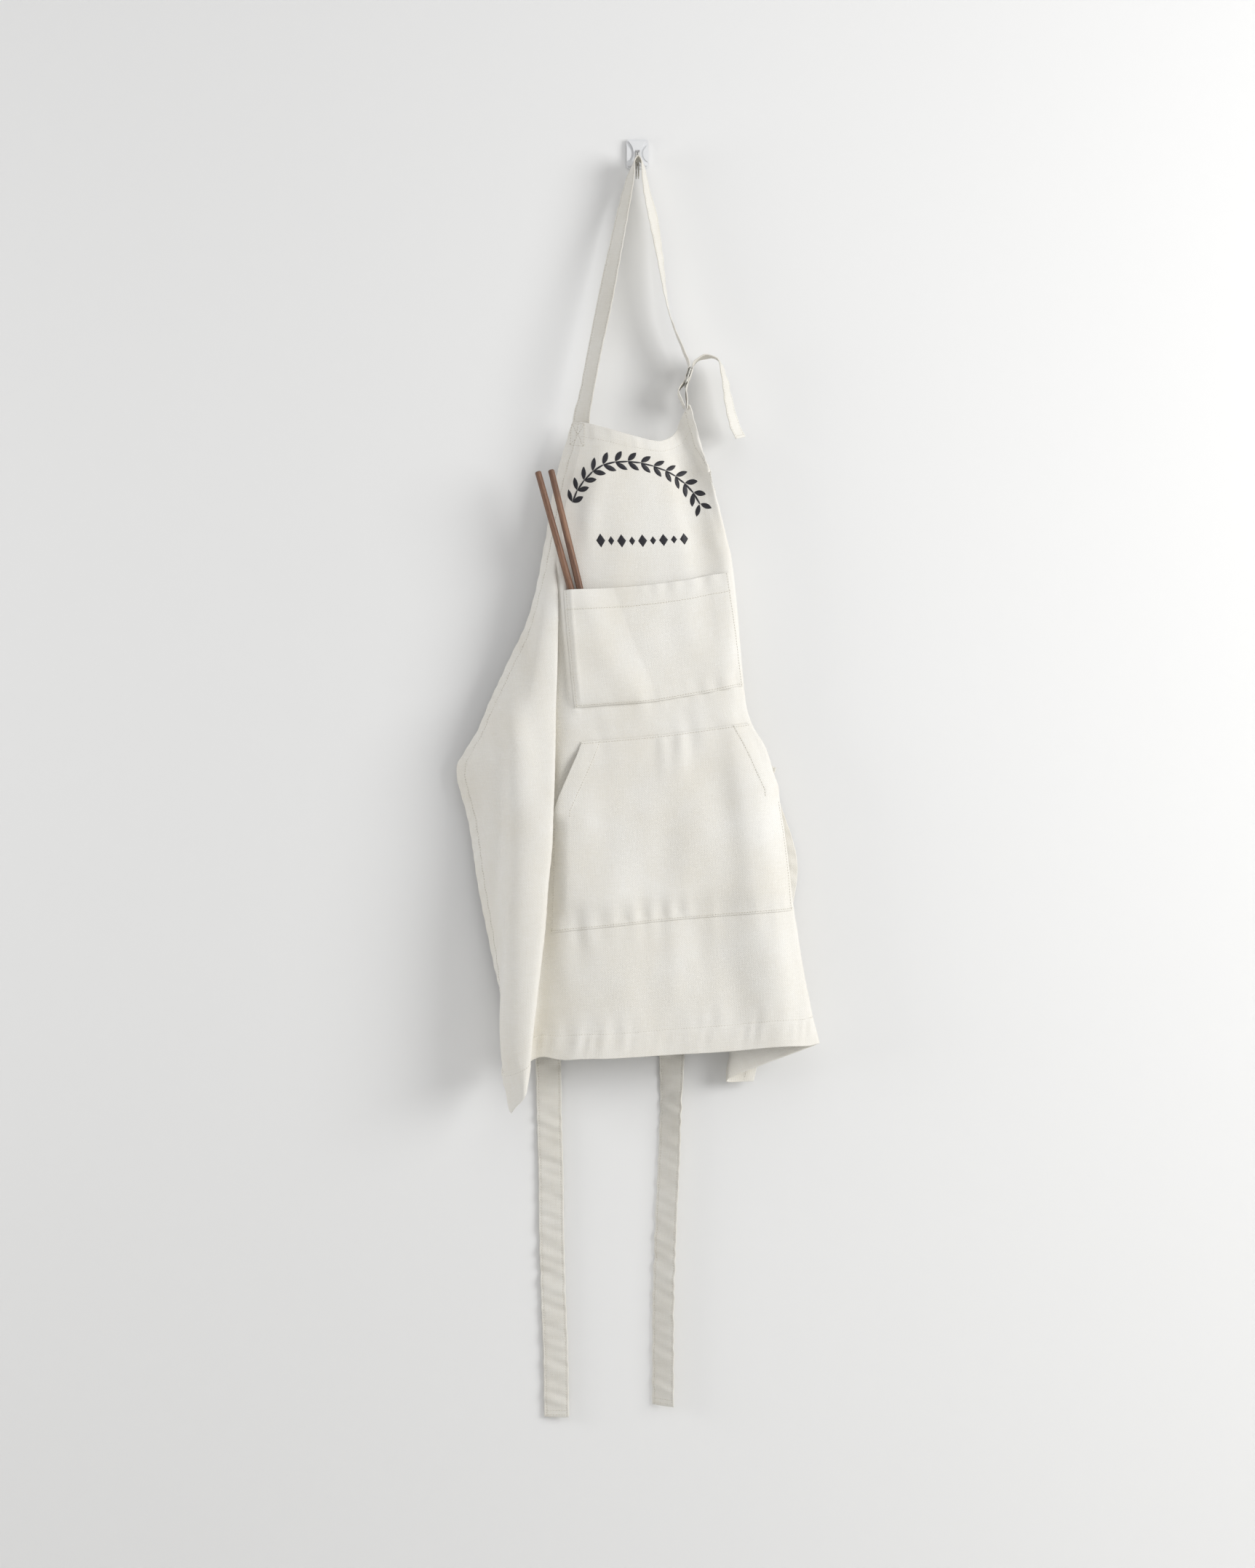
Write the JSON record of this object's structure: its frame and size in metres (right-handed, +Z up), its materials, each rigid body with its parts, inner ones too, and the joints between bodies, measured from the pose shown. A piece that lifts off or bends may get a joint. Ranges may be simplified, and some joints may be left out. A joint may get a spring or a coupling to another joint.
{
  "type": "apron on a hook",
  "caption": "Canvas bib apron hanging by its adjustable neck strap from a stick-on wire wall hook, with pockets, ties and chopsticks in the bib pocket.",
  "frame": {"origin": "centre of the adhesive strip's back face, on the wall, level with the middle of the hook base", "axes": "+Z up, +Y into the wall, +X to the right of someone facing the apron; the front of the apron faces -Y"},
  "size_m": [0.4156, 0.0936, 1.4903],
  "materials": {
    "hook_plastic": "white moulded plastic with a soft gloss",
    "hook_wire": "plated steel wire",
    "adhesive_foam": "white foam adhesive strip",
    "canvas": "off-white cotton canvas, plain weave",
    "pocket_canvas": "off-white cotton canvas, plain weave",
    "strap_tape": "folded cotton strap with edge stitching",
    "tie_tape": "folded cotton tie with edge stitching",
    "buckle_metal": "nickel-plated steel slide",
    "chopstick_wood": "round brown wood with a satin oil finish"
  },
  "bodies": {
    "hook": {"hook_base": "hook_plastic", "wire_hook": "hook_wire", "adhesive_strip": "adhesive_foam"},
    "apron": {"apron_body": "canvas", "bib_pocket": "pocket_canvas", "hand_pocket": "pocket_canvas", "neck_strap": "strap_tape", "strap_tail": "strap_tape", "anchor_loop": "strap_tape", "slide_buckle": "buckle_metal", "left_tie_upper": "tie_tape", "right_tie_upper": "tie_tape"},
    "left_tie_end": {"left_tie": "tie_tape"},
    "right_tie_end": {"right_tie": "tie_tape"},
    "left_chopstick": {"chopstick_left": "chopstick_wood"},
    "right_chopstick": {"chopstick_right": "chopstick_wood"}
  },
  "joints": [
    {"name": "lift_off", "type": "slide", "parent": "hook", "child": "apron", "axis": [0, -0.5, 0.866], "range_m": [0, 0.1]},
    {"name": "left_tie_swing", "type": "hinge", "parent": "apron", "child": "left_tie_end", "pos_m": [-0.105, -0.0068, -1.04], "axis": [0, 1, 0], "range_deg": [-12.5, 35]},
    {"name": "right_tie_swing", "type": "hinge", "parent": "apron", "child": "right_tie_end", "pos_m": [0.041, -0.0044, -1.036], "axis": [0, 1, 0], "range_deg": [-35, 12.5]},
    {"name": "left_chopstick_pull", "type": "slide", "parent": "apron", "child": "left_chopstick", "axis": [-0.2703, 0, 0.9628], "range_m": [0, 0.15]},
    {"name": "right_chopstick_pull", "type": "slide", "parent": "apron", "child": "right_chopstick", "axis": [-0.2373, 0, 0.9714], "range_m": [0, 0.15]}
  ]
}
